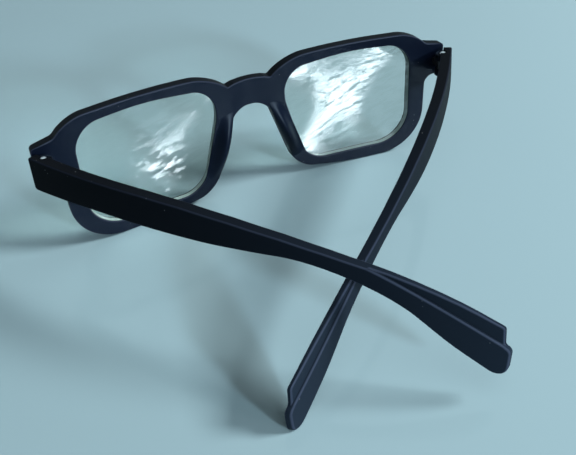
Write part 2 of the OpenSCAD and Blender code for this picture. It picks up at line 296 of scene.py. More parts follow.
def show(name: str, data: bpy.types.ID) -> bpy.types.Object:
    """Puts a new object into the scene.

    Args:
        name: its name.
        data: its mesh, light or camera.

    Returns:
        The new object.
    """
    thing = bpy.data.objects.new(name, data)
    bpy.context.scene.collection.objects.link(thing)
    return thing


def settle(name: str, bm: BMesh) -> bpy.types.Mesh:
    """Makes a mesh from a bmesh.

    Args:
        name: its name.
        bm: the bmesh, which is used up.

    Returns:
        The new mesh.
    """
    mesh = bpy.data.meshes.new(name)
    bm.to_mesh(mesh)
    bm.free()
    return mesh


def set_down(
    name: str,
    bm: BMesh,
    placement: Matrix,
    finishes: Sequence[bpy.types.Material],
    body: str,
    node: str,
) -> bpy.types.Object:
    """Makes a finished piece from a mesh in millimetres and ties it to the frame.

    Args:
        name: name of the piece.
        bm: its mesh, which is used up.
        placement: from the mesh's frame to the table.
        finishes: its materials, in the order of its faces' indices.
        body: the body that it moves with.
        node: the node that it stands for.

    Returns:
        The new object, at the origin, with its place in its mesh.
    """
    bmesh.ops.transform(bm, matrix=placement, verts=bm.verts[:])
    if placement.determinant() < 0:
        bmesh.ops.reverse_faces(bm, faces=bm.faces[:])
    mesh = settle(name, bm)
    mesh.shade_smooth()
    mesh.set_sharp_from_angle(angle=CREASE)
    for finish in finishes:
        mesh.materials.append(finish)
    piece = show(name, mesh)
    piece.modifiers.new("flat_faces", "WEIGHTED_NORMAL").keep_sharp = True
    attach(piece, body)
    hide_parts(node)
    return piece


def drum(radius: float, low: float, high: float, ease: float = 0.0) -> BMesh:
    """An upright cylinder on the hinge axis.

    Args:
        radius: its radius.
        low: height of its lower end.
        high: height of its upper end.
        ease: width of the round on its rims.

    Returns:
        The new mesh.
    """
    bm = bmesh.new()
    bm.verts.layers.float.new(POLISH_AND_PAINTED_HIGHLIGHT)
    bmesh.ops.create_cone(
        bm,
        cap_ends=True,
        segments=ROUND_FACETS,
        radius1=radius,
        radius2=radius,
        depth=high - low,
        matrix=Matrix.Translation((0, 0, (low + high) / 2)),
    )
    if ease:
        rims = [edge for edge in bm.edges if edge.calc_face_angle() > CORNER_ANGLE]
        round_off(bm, Rounding.EDGES, rims, ease)
    return bm


def block(low: Vector, high: Vector) -> BMesh:
    """A box between two corners.

    Args:
        low: its lowest corner.
        high: its highest corner.

    Returns:
        The new mesh.
    """
    bm = bmesh.new()
    bm.verts.layers.float.new(POLISH_AND_PAINTED_HIGHLIGHT)
    sizes = Matrix.Diagonal(high - low).to_4x4()
    bmesh.ops.create_cube(bm, size=1.0, matrix=Matrix.Translation((low + high) / 2) @ sizes)
    return bm


def combine(body: BMesh, tools: Sequence[tuple[BMesh, Shaping]]) -> BMesh:
    """Shapes a body with tools.

    Args:
        body: the body's mesh, which is used up.
        tools: meshes, each with what it does, which are used up.

    Returns:
        The new mesh.
    """
    made = [show("shaping", settle("shaping", bm)) for bm in (body, *(tool for tool, _ in tools))]
    for tool, (_, shaping) in zip(made[1:], tools):
        cut = made[0].modifiers.new("shaping", "BOOLEAN")
        cut.operation = shaping.value
        cut.solver = "EXACT"
        cut.object = tool
    shaped = made[0].evaluated_get(bpy.context.evaluated_depsgraph_get())
    result = bmesh.new()
    result.from_mesh(shaped.to_mesh())
    bmesh.ops.remove_doubles(result, verts=result.verts[:], dist=WELD)
    for thing in made:
        mesh = thing.data
        bpy.data.objects.remove(thing)
        bpy.data.meshes.remove(mesh)
    return result


class Wire:
    """A shader socket that takes part in Python arithmetic."""

    def __init__(self, graph: "Graph", socket: bpy.types.NodeSocket | None) -> None:
        """Wraps an output socket of a graph, or None for a node that has no output."""
        self.graph = graph
        self.socket = socket

    def _math(self, operation: str, left: "Wire | float", right: "Wire | float") -> "Wire":
        """Result of a Math node on two values."""
        return self.graph.node("ShaderNodeMath", {"operation": operation}, {0: left, 1: right})

    def __add__(self, other: "Wire | float") -> "Wire":
        """Sum of this and another value."""
        return self._math("ADD", self, other)

    def __radd__(self, other: float) -> "Wire":
        """Sum of a number and this value."""
        return self._math("ADD", other, self)

    def __sub__(self, other: "Wire | float") -> "Wire":
        """This value less another."""
        return self._math("SUBTRACT", self, other)

    def __rsub__(self, other: float) -> "Wire":
        """A number less this value."""
        return self._math("SUBTRACT", other, self)

    def __mul__(self, other: "Wire | float") -> "Wire":
        """Product of this and another value."""
        return self._math("MULTIPLY", self, other)

    def __rmul__(self, other: float) -> "Wire":
        """Product of a number and this value."""
        return self._math("MULTIPLY", other, self)


class Graph:
    """The node tree of one material or of the world."""

    def __init__(self, owner: bpy.types.Material | bpy.types.World) -> None:
        """Empties the owner's node tree.

        Args:
            owner: the material or world.
        """
        owner.use_nodes = True
        self.tree = owner.node_tree
        self.tree.nodes.clear()

    def node(
        self,
        kind: str,
        settings: dict[str, object] | None = None,
        sockets: dict[str | int, object] | None = None,
        output: str | int = 0,
    ) -> Wire:
        """Adds a node.

        Args:
            kind: the node's type.
            settings: its properties, and a ramp's stops.
            sockets: values or wires for its inputs.
            output: the output that is wanted.

        Returns:
            That output.
        """
        made = self.tree.nodes.new(kind)
        for name, value in (settings or {}).items():
            if name == "stops":
                self._ramp(made.color_ramp, value)
            else:
                setattr(made, name, value)
        for name, value in (sockets or {}).items():
            if isinstance(value, Wire):
                self.tree.links.new(value.socket, made.inputs[name])
            else:
                made.inputs[name].default_value = value
        return Wire(self, made.outputs[output] if made.outputs else None)

    @staticmethod
    def _ramp(ramp: bpy.types.ColorRamp, stops: Sequence[tuple[float, float]]) -> None:
        """Sets a grey ramp.

        Args:
            ramp: the ramp.
            stops: places with their grey values.
        """
        while len(ramp.elements) < len(stops):
            ramp.elements.new(1.0)
        for element, (place, grey) in zip(ramp.elements, stops):
            element.position = place
            element.color = (grey, grey, grey, 1.0)

    def surface(self, shader: Wire) -> None:
        """Shows a shader on the surface of the material or the world."""
        kind = "World" if isinstance(self.tree.id_data, bpy.types.World) else "Material"
        self.node(f"ShaderNodeOutput{kind}", sockets={"Surface": shader})

    def place(self) -> Wire:
        """Object coordinates, in metres."""
        return self.node("ShaderNodeTexCoord", output="Object")

    def attribute(self, name: str) -> Wire:
        """A value that the mesh carries."""
        return self.node("ShaderNodeAttribute", {"attribute_name": name}, output="Fac")

    def noise(self, scale: float, detail: float = 2.0, vector: Wire | None = None) -> Wire:
        """Cloudy noise, about 0.5 on average, on Object coordinates unless others are given."""
        sockets = {"Vector": vector or self.place(), "Scale": scale, "Detail": detail}
        return self.node("ShaderNodeTexNoise", sockets=sockets)

    def stretched(self, sizes: Triple, turn: Triple = (0.0, 0.0, 0.0)) -> Wire:
        """Coordinates whose unit has these sizes in metres and is turned by these radians."""
        sockets = {"Vector": self.place(), "Rotation": turn, "Scale": sizes}
        return self.node("ShaderNodeMapping", {"vector_type": "TEXTURE"}, sockets)

    def ramp(self, value: Wire, *stops: tuple[float, float]) -> Wire:
        """A value through a grey ramp, whose stops are places with their grey values."""
        return self.node("ShaderNodeValToRGB", {"stops": stops}, {"Fac": value})

    def blend(self, share: Wire, first: "Wire | Colour", second: "Wire | Colour") -> Wire:
        """Mixes two colours by the share of the second."""
        first, second = (tone if isinstance(tone, Wire) else (*tone, 1.0) for tone in (first, second))
        return self.node("ShaderNodeMix", {"data_type": "RGBA"}, {0: share, 6: first, 7: second}, output=2)

    def bump(self, height: Wire, strength: float, relief: float) -> Wire:
        """A normal that is roughened by a height, with its relief in metres."""
        sockets = {"Strength": strength, "Distance": relief, "Height": height}
        return self.node("ShaderNodeBump", sockets=sockets)

    def principled(self, sockets: dict[str, object]) -> Wire:
        """A Principled shader with these sockets."""
        return self.node("ShaderNodeBsdfPrincipled", sockets=sockets)


@dataclass(frozen=True)
class Finish:
    """What every finish shares: a name, and a material that is made from its shader."""

    name: str

    def shader(self, graph: Graph) -> Wire:
        """The finish's own shader."""
        raise NotImplementedError

    def make(self) -> bpy.types.Material:
        """Builds the material.

        Returns:
            The new material.
        """
        material = bpy.data.materials.new(self.name)
        graph = Graph(material)
        graph.surface(self.shader(graph))
        return material


@dataclass(frozen=True)
class SatinAcetate(Finish):
    """Satin acetate sheet with polished edges that carry a painted highlight, faint clouding, scuffs and a
    little dust.
    """

    body: Colour
    cloud: Colour
    # Painted highlight: the lighter colour of the polished rounds on the edges
    edge: Colour
    sheen: float
    roughness: float
    # Painted light: a lighter tone towards the temple's tip, where more light falls
    faded: Colour | None = None
    mirror: Colour = (0.70, 0.86, 1.0)
    dust_tone: Colour = (0.30, 0.33, 0.36)
    ior: float = 1.48
    cloud_scale: float = 70.0
    grain_scale: float = 3200.0
    speck_scale: float = 420.0
    patch_scale: float = 160.0
    scuff_size: Triple = (0.0004, 0.004, 0.004)
    scuff_turn: Triple = (0.3, 0.5, 0.9)
    relief: float = 0.00002

    def shader(self, graph: Graph) -> Wire:
        """Acetate that turns to its edge colour, a painted highlight, where polished, and to its painted lit
        tone where more light is painted.

        Args:
            graph: the material's graph.

        Returns:
            The shader.
        """
        clouds = graph.ramp(graph.noise(self.cloud_scale, 5.0), (0.3, 0.0), (0.7, 1.0))
        rubbed = graph.noise(1.0, 3.0, graph.stretched(self.scuff_size, self.scuff_turn))
        scuffs = graph.ramp(rubbed, (0.62, 0.0), (0.72, 1.0))
        spots = {"Vector": graph.place(), "Scale": self.speck_scale}
        specks = graph.ramp(graph.node("ShaderNodeTexVoronoi", sockets=spots), (0.05, 1.0), (0.09, 0.0))
        dust = specks * graph.ramp(graph.noise(self.patch_scale, 1.0), (0.56, 0.0), (0.62, 1.0))
        polish = graph.attribute(POLISH_AND_PAINTED_HIGHLIGHT)
        colour = graph.blend(clouds, self.body, self.cloud)
        # Painted light: the tone grows lighter towards the temple's tip
        if self.faded:
            colour = graph.blend(graph.attribute(PAINTED_LIGHT_SHARE), colour, self.faded)
        # Painted highlight: the rounded edges take the lighter edge colour
        colour = graph.blend(polish, colour, self.edge)
        return graph.principled(
            {
                "Base Color": graph.blend(dust * 0.35, colour, self.dust_tone),
                "Roughness": self.roughness + clouds * 0.06 - polish * 0.10 - scuffs * 0.05 + dust * 0.2,
                "Normal": graph.bump(graph.noise(self.grain_scale) + scuffs * 0.6, 0.25, self.relief),
                "Specular IOR Level": self.sheen,
                "Specular Tint": (*self.mirror, 1.0),
                "IOR": self.ior,
            }
        )


@dataclass(frozen=True)
class CoatedLens(Finish):
    """Clear lens with a faint green cast and an uneven coat, which lets lamps through.

    Its coat is in streaks, where the wiping, less fade for each metre from the spot, is above bare.
    """

    spot: Triple
    bare: float
    fade: float
    gloss: float
    tint: Colour = (0.775, 0.805, 0.775)
    smear: Colour = (0.810, 0.835, 0.810)
    ior: float = 1.50
    coat_ior: float = 2.0
    wipe_size: Triple = (0.0055, 0.004, 0.0016)
    wipe_turn: Triple = (0.0, 0.25, 0.0)
    streak_rim: float = 0.02
    relief: float = 0.000004

    def shader(self, graph: Graph) -> Wire:
        """Glass to the eye, and an open tint to the lamps.

        Args:
            graph: the material's graph.

        Returns:
            The shader.
        """
        wiping = graph.noise(1.0, 4.0, graph.stretched(self.wipe_size, self.wipe_turn))
        ends = {0: graph.place(), 1: self.spot}
        away = graph.node("ShaderNodeVectorMath", {"operation": "DISTANCE"}, ends, output="Value")
        marks = graph.ramp(wiping, (0.45, 0.0), (0.75, 1.0))
        streak_stops = (self.bare, 0.0), (self.bare + self.streak_rim, 1.0)
        glass = graph.principled(
            {
                "Base Color": graph.blend(marks, self.tint, self.smear),
                "Roughness": marks * 0.02,
                "Transmission Weight": 1.0,
                "IOR": self.ior,
                "Specular Tint": (self.gloss, self.gloss, self.gloss, 1.0),
                "Coat Weight": graph.ramp(wiping - away * self.fade, *streak_stops),
                "Coat Roughness": 0.0,
                "Coat IOR": self.coat_ior,
                "Normal": graph.bump(wiping, 1.0, self.relief),
            }
        )
        open_tint = graph.node("ShaderNodeBsdfTransparent", sockets={"Color": (*self.tint, 1.0)})
        to_lamp = graph.node("ShaderNodeLightPath", output="Is Shadow Ray")
        return graph.node("ShaderNodeMixShader", sockets={0: to_lamp, 1: glass, 2: open_tint})


@dataclass(frozen=True)
class GroundEdge(Finish):
    """Frosted edge of a lens, ground to fit its rim."""

    body: Colour
    worn: Colour
    grind_scale: float = 1600.0

    def shader(self, graph: Graph) -> Wire:
        """Dull glass with the marks of the grinding wheel.

        Args:
            graph: the material's graph.

        Returns:
            The shader.
        """
        grind = graph.ramp(graph.noise(self.grind_scale, 4.0), (0.35, 0.0), (0.7, 1.0))
        return graph.principled(
            {
                "Base Color": graph.blend(grind, self.body, self.worn),
                "Roughness": 0.6 + grind * 0.2,
                "Normal": graph.bump(grind, 0.3, FINE_RELIEF),
            }
        )


@dataclass(frozen=True)
class TurnedSteel(Finish):
    """Steel with fine turning marks and darker spots in its grain."""

    clean: Colour
    dull: Colour
    roughness: float
    line_size: Triple = (0.0011, 0.0011, 0.00011)
    stain_scale: float = 700.0

    def shader(self, graph: Graph) -> Wire:
        """Metal that is rougher where it is dull.

        Args:
            graph: the material's graph.

        Returns:
            The shader.
        """
        lines = graph.noise(1.0, 2.0, graph.stretched(self.line_size))
        stains = graph.ramp(graph.noise(self.stain_scale, 4.0), (0.4, 0.0), (0.75, 1.0))
        return graph.principled(
            {
                "Base Color": graph.blend(stains, self.clean, self.dull),
                "Metallic": 1.0,
                "Roughness": self.roughness + stains * 0.15,
                "Normal": graph.bump(lines, 0.2, FINE_RELIEF),
            }
        )


@dataclass(frozen=True)
class MouldedNylon(Finish):
    """Dark nylon with a slight moulded bloom."""

    body: Colour
    bloom: Colour
    bloom_scale: float = 900.0
    grain_scale: float = 5000.0

    def shader(self, graph: Graph) -> Wire:
        """Nylon that is paler and rougher where it blooms.

        Args:
            graph: the material's graph.

        Returns:
            The shader.
        """
        clouds = graph.ramp(graph.noise(self.bloom_scale, 3.0), (0.35, 0.0), (0.7, 1.0))
        return graph.principled(
            {
                "Base Color": graph.blend(clouds, self.body, self.bloom),
                "Roughness": 0.4 + clouds * 0.15,
                "Normal": graph.bump(graph.noise(self.grain_scale), 0.2, FINE_RELIEF),
            }
        )


@dataclass(frozen=True)
class GlossyTable(Finish):
    """Pale glossy table top with a slow drift of tone."""

    body: Colour
    shade: Colour
    roughness: float = 0.08
    gloss: float = 0.35
    drift_scale: float = 2.2

    def shader(self, graph: Graph) -> Wire:
        """A smooth pale surface.

        Args:
            graph: the material's graph.

        Returns:
            The shader.
        """
        drift = graph.ramp(graph.noise(self.drift_scale, 1.0), (0.35, 0.0), (0.65, 1.0))
        return graph.principled(
            {
                "Base Color": graph.blend(drift, self.body, self.shade),
                "Roughness": self.roughness,
                "Specular IOR Level": self.gloss,
            }
        )


def mirrored(corners: Sequence[Corner]) -> list[Corner]:
    """Corners on the other side of the middle, in the same order."""
    return [(-x, z, radius) for x, z, radius in corners]


def grown(corners: Sequence[Corner], width: float) -> list[Corner]:
    """Corners of a clockwise outline moved outwards.

    Args:
        corners: the corners.
        width: how far its edges move.

    Returns:
        The new corners.
    """
    made = []
    for index, (x, z, radius) in enumerate(corners):
        here = Vector((x, z))
        before = here - Vector(corners[index - 1][:2])
        after = Vector(corners[(index + 1) % len(corners)][:2]) - here
        out_before, out_after = (Vector((-line.y, line.x)).normalized() for line in (before, after))
        shift = (out_before + out_after) / (1 + out_before.dot(out_after)) * width
        made.append((x + shift.x, z + shift.y, radius + width))
    return made


@dataclass
class FrontFrame:
    """The front: two rims, the bridge with its crown and the two end pieces that carry the hinges."""

    finish: bpy.types.Material
    # The darker acetate that paints shade on the top and side faces
    edge_finish: bpy.types.Material
    lens_w: float = 47.2
    lens_h: float = 38.4
    bridge_w: float = 25.2
    lens_rise: float = 3.3
    rim_top: float = 3.2
    rim_bottom: float = 4.4
    rim_side: float = 5.9
    thickness: float = 4.2
    wrap_r: float = 420.0
    bridge_h: float = 6.8
    bridge_crown: float = 1.6
    crown_rise: float = 0.6
    crown_r: float = 24.0
    arch_drop: float = 0.5
    notch_in: float = 5.0
    hollow_d: float = 0.5
    hollow_w: float = 8.6
    hollow_cuts: int = 16
    end_len: float = 6.7
    end_top: float = -0.1
    end_h: float = 10.6
    nose_slant: float = 0.34
    nose_foot: float = 3.3
    nose_lift: float = 3.0
    seat_cut: float = 0.78
    seat_x: float = 66.3
    hinge_inset: float = 2.9
    hinge_lead: float = 3.6
    hinge_gap: float = 0.5
    lug_mid: float = -5.65
    edge_w: float = 0.42
    face_w: float = 0.9
    face_facets: int = 5
    seam_x: float = 11.5
    strip: float = 2.0

    def __post_init__(self) -> None:
        """Works out the levels and sides that the outlines share, and where the front stands."""
        self.lens_in = self.bridge_w / 2
        self.lens_out = self.lens_in + self.lens_w
        self.lens_mid = self.lens_in + self.lens_w / 2
        self.lens_low = self.lens_rise - self.lens_h
        self.brow_z = self.lens_rise + self.rim_top
        self.rim_low = self.lens_low - self.rim_bottom
        self.rim_out = self.lens_out + self.rim_side
        self.end_out = self.rim_out + self.end_len
        self.end_low = self.end_top - self.end_h
        self.nose_top = -self.bridge_h - self.arch_drop
        self.seat_y = self.wrap_back(self.end_out) - self.seat_cut
        hinge_y = self.seat_y + self.hinge_gap + self.hinge_lead
        self.hinge = Vector((self.end_out - self.hinge_inset, hinge_y, 0.0))
        self.stand = Stand.from_joints(hinge_y, self.lug_mid).matrix()

    def wrap_back(self, x: float) -> float:
        """Depth of the wrapped back face at a distance from the middle."""
        return self.wrap_r - math.sqrt(self.wrap_r**2 - x**2)

    def nose_edge(self, z: float) -> float:
        """Distance of the nose side of the rim from the middle."""
        return self.nose_foot - z * self.nose_slant

    def lens_corners(self) -> list[Corner]:
        """Outline of the left lens opening.

        Returns:
            Its corners, clockwise: top in, top middle, top out, low out, low in and waist.
        """
        return [
            (self.lens_in - 0.1, self.lens_rise - 1.7, 8.5),
            (self.lens_mid, self.lens_rise + 0.5, 80.0),
            (self.lens_out - 0.3, self.lens_rise - 1.1, 9.5),
            (self.lens_out + 0.1, self.lens_low - 0.2, 11.5),
            (self.lens_in + 7.3, self.lens_low + 0.2, 10.0),
            (self.lens_in - 0.1, self.lens_rise - 12.3, 14.0),
        ]

    def rim_corners(self) -> tuple[list[Corner], list[Corner], list[Corner]]:
        """Corners of the left half of the outline.

        Returns:
            The brow from the crown outwards, the end piece downwards and the belly back to the nose.
        """
        notch = self.lens_in - self.notch_in
        brow = [
            (notch - 2.2, self.bridge_crown, 2.5),
            (notch, 0.9, 0.8),
            (self.lens_in + 1.4, self.brow_z - 0.5, 19.5),
            (self.lens_mid - 2.0, self.brow_z + 0.33, 260.0),
        ]
        end = [
            (self.lens_out + 0.4, self.brow_z - 0.7, 14.0),
            (self.rim_out - 0.4, self.end_top + 1.3, 2.4),
            (self.end_out, self.end_top, 1.2),
            (self.end_out, self.end_low, 1.2),
            (self.rim_out, self.end_low - 0.4, 3.5),
            (self.rim_out - 0.2, self.rim_low, 16.0),
        ]
        foot_z = self.rim_low + self.nose_lift
        belly = [
            (self.lens_mid, self.rim_low - 0.4, 90.0),
            (self.nose_edge(foot_z), foot_z, 11.0),
            (self.nose_edge(self.nose_top), self.nose_top, 7.0),
        ]
        return brow, end, belly

    def seam(self, first: Corner, second: Corner) -> Corner:
        """Point where the line between two corners meets the seam beyond the middle of the lens.

        Args:
            first: the corner where the line starts.
            second: the corner where it ends.

        Returns:
            The point, as a sharp corner.
        """
        (first_x, first_z, _), (second_x, second_z, _) = first, second
        x = self.lens_mid + self.seam_x
        share = (x - first_x) / (second_x - first_x)
        return (x, first_z + share * (second_z - first_z), 0.0)

    def faces(self) -> list[list[Corner]]:
        """The front as three faces without holes, which meet at seams across the rims.

        Returns:
            Outlines of the middle and of the left and right outer ends.
        """
        brow, end, belly = self.rim_corners()
        top_in, top_mid, top_out, low_out, low_in, waist = self.lens_corners()
        seam_top = self.seam(brow[-1], end[0])
        seam_low = self.seam(end[-1], belly[0])
        open_top = self.seam(top_mid, top_out)
        open_low = self.seam(low_in, low_out)
        half = [*brow, seam_top, open_top, top_mid, top_in, waist, low_in, open_low, seam_low, *belly]
        outer = [seam_top, *end, seam_low, open_low, low_out, top_out, open_top]
        crown = (0.0, self.bridge_crown + self.crown_rise, self.crown_r)
        return [[crown, *half, *mirrored(half)[::-1]], outer, mirrored(outer)]

    def wrapped(self, point: Vector) -> Vector:
        """Bends a point of the flat blank round the face and hollows the back of the bridge.

        Args:
            point: X across, minus Y through and Z up the blank.

        Returns:
            The point in the front's frame.
        """
        depth = -point.y
        if depth < self.thickness / 2 and abs(point.x) < self.hollow_w:
            depth += self.hollow_d * (1 + math.cos(math.pi * point.x / self.hollow_w)) / 2
        y = self.wrap_r - math.sqrt((self.wrap_r + depth) ** 2 - point.x**2)
        if abs(point.x) > self.seat_x:
            y = min(y, self.seat_y)
        return Vector((point.x, y, point.z))

    def build(self) -> bpy.types.Object:
        """Builds and dresses the front.

        Returns:
            The finished piece.
        """
        blank = Blank(Facing.BEHIND)
        for corners in self.faces():
            blank.cut(corners)
        blank.weld()
        blank.thicken(blank.bm.faces[:], -self.thickness)
        blank.ease(0.0, self.edge_w)
        blank.ease(-self.thickness, self.face_w, self.face_facets)
        # Painted shade: only the thin back layer keeps the slate colour, and every other face gets a darker
        # acetate that paints the shade on the top and side faces
        for face in blank.bm.faces:
            face.material_index = int(face.calc_center_median().y < -self.edge_w)
        blank.slice(0, -self.end_out, self.end_out, self.strip)
        blank.slice(0, -self.hollow_w, self.hollow_w, self.hollow_w / self.hollow_cuts)
        blank.bend(self.wrapped)
        finishes = self.finish, self.edge_finish
        piece = set_down("front", blank.bm, self.stand, finishes, "front", "front_frame")
        # The rims are flat where they would sink into the table
        for vert in piece.data.vertices:
            vert.co.z = max(vert.co.z, 0.0)
        return piece


@dataclass
class Lens:
    """One lens with its ground edge, set into its rim."""

    front: FrontFrame
    side: Side
    finish: bpy.types.Material
    edge_finish: bpy.types.Material
    near: float = 0.5
    thickness: float = 2.6
    play: float = 0.02
    dome: float = 0.9
    edge_tilt: float = 0.5
    strip: float = 3.0

    def domed(self, point: Vector) -> Vector:
        """Bends a point of the flat lens to its curve.

        Args:
            point: X across, minus Y through and Z up the lens.

        Returns:
            The point in the front's frame.
        """
        across = (point.x - self.front.lens_mid) / (self.front.lens_w / 2)
        up = (point.z - self.front.lens_rise + self.front.lens_h / 2) / (self.front.lens_h / 2)
        bulge = self.dome * max(0.0, 1 - across**2) * max(0.0, 1 - up**2)
        return self.front.wrapped(Vector((point.x, point.y - bulge, point.z)))

    def build(self) -> bpy.types.Object:
        """Builds and dresses the lens.

        Returns:
            The finished piece.
        """
        blank = Blank(Facing.BEHIND)
        blank.cut(grown(self.front.lens_corners(), -self.play), -self.near)
        blank.thicken(blank.bm.faces[:], -self.near - self.thickness)
        bmesh.ops.recalc_face_normals(blank.bm, faces=blank.bm.faces[:])
        for face in blank.bm.faces:
            face.material_index = int(abs(face.normal.y) < self.edge_tilt)
        blank.slice(0, self.front.lens_in, self.front.lens_out, self.strip)
        blank.slice(2, self.front.lens_low, self.front.lens_rise, self.strip)
        blank.bend(self.domed)
        side, finishes = self.side.label, (self.finish, self.edge_finish)
        placement = self.front.stand @ self.side.mirror
        return set_down(f"{side}_clear_lens", blank.bm, placement, finishes, "front", f"{side}_lens")


@dataclass
class NosePad:
    """One nose pad: a rounded ridge on the nose side of the rim that fades out at both ends."""

    front: FrontFrame
    side: Side
    finish: bpy.types.Material
    top_z: float = -7.6
    low_z: float = -32.0
    reach: float = 3.6
    lip: float = 1.1
    crest: float = 1.7
    width: float = 5.6
    wrap: float = 2.4
    root: float = 0.2
    sink: float = 0.15
    fade: float = 1.3
    rows: int = 48
    columns: int = 42

    def section(self, share: float) -> Vector:
        """Point of the pad's closed section: nose wall, slope to the lens and root in the rim.

        Args:
            share: from 0 to 1 round the section.

        Returns:
            Distance from the nose edge and height above the rim.
        """
        foot, top, toe = (self.root, -self.wrap), (self.crest, self.reach), (self.width, 0.0)
        curves = (
            Curve(foot, (-self.lip, -0.5), (-0.5 * self.lip, self.reach), top),
            Curve(top, (self.crest + 1.3, self.reach), (self.width - 1.8, 0.6), toe),
            Curve(toe, (self.width - 1.0, -0.6), (1.5, -self.wrap), foot),
        )
        spot = share * len(curves)
        index = min(int(spot), len(curves) - 1)
        return curves[index].at(spot - index)

    def shaped(self, point: Vector) -> Vector:
        """Place of a point of the flat grid on the pad.

        Args:
            point: X along and Y round the pad, from -1 to 1.

        Returns:
            The point in the front's frame, for the left side.
        """
        along = (point.x + 1) / 2
        spot = self.section((point.y + 1) / 2)
        swell = max(0.0, math.sin(math.pi * along)) ** self.fade
        z = self.top_z + along * (self.low_z - self.top_z)
        inward = spot.x if spot.x > self.root else self.root + (spot.x - self.root) * swell
        height = (spot.y * swell if spot.y > 0 else spot.y) - self.sink
        x = self.front.nose_edge(z) + inward
        return Vector((x, self.front.wrap_r - math.sqrt((self.front.wrap_r - height) ** 2 - x**2), z))

    def build(self) -> bpy.types.Object:
        """Builds and dresses the pad.

        Returns:
            The finished piece.
        """
        bm = bmesh.new()
        bm.verts.layers.float.new(POLISH_AND_PAINTED_HIGHLIGHT)
        bmesh.ops.create_grid(bm, x_segments=self.rows, y_segments=self.columns, size=1.0)
        for vert in bm.verts:
            vert.co = self.shaped(vert.co)
        bmesh.ops.remove_doubles(bm, verts=bm.verts[:], dist=WELD)
        bmesh.ops.holes_fill(bm, edges=[edge for edge in bm.edges if edge.is_boundary], sides=0)
        bmesh.ops.recalc_face_normals(bm, faces=bm.faces[:])
        side, placement = self.side.label, self.front.stand @ self.side.mirror
        return set_down(
            f"{side}_pad", bm, placement, (self.finish,), "front", f"{side}_nose_pad"
        )


